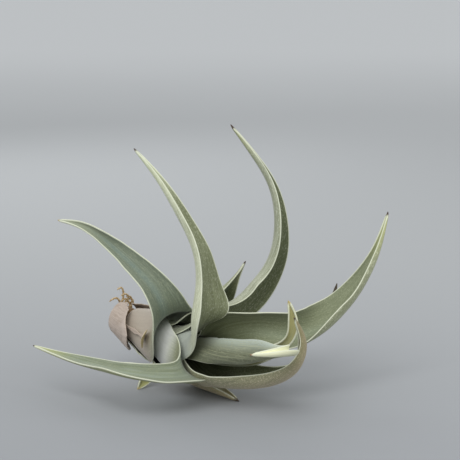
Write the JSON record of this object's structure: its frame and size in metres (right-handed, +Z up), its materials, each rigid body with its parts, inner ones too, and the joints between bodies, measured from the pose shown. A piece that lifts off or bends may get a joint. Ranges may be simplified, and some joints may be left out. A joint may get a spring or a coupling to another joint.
{
  "type": "air plant",
  "caption": "Rosette of thick, channelled silver-green leaves with pale margins, nested round a short stem with dry sheaths and wiry roots at its foot, lying on a surface.",
  "frame": {"origin": "bottom centre of the plant's bounding box, on the surface that it lies on", "axes": "+Z up; +X along the picture's width, from the stem's foot towards the leaf that sweeps out to the right; +Y away from the viewer"},
  "size_m": [0.1264, 0.0855, 0.0913],
  "materials": {
    "leaf": "matte silvery grey-green scales, cream margins, yellow-green to dark brown tips",
    "dry_sheath": "dry, papery, pinkish grey with tan streaks",
    "stem": "dull tan bark and wiry roots"
  },
  "bodies": {
    "root": {"stem_and_roots": "stem", "dry_sheath_front": "dry_sheath", "dry_sheath_back": "dry_sheath", "dry_flake": "dry_sheath", "leaf_under_left": "leaf", "leaf_upper_left": "leaf", "leaf_under_right": "leaf", "leaf_under_back": "leaf", "leaf_lower_left": "leaf", "leaf_short_top": "leaf", "leaf_back": "leaf", "leaf_tall_right": "leaf", "leaf_tall_left": "leaf", "leaf_front_sweep": "leaf", "leaf_right": "leaf", "leaf_hooked": "leaf", "leaf_young": "leaf", "leaf_centre": "leaf"}
  },
  "joints": []
}
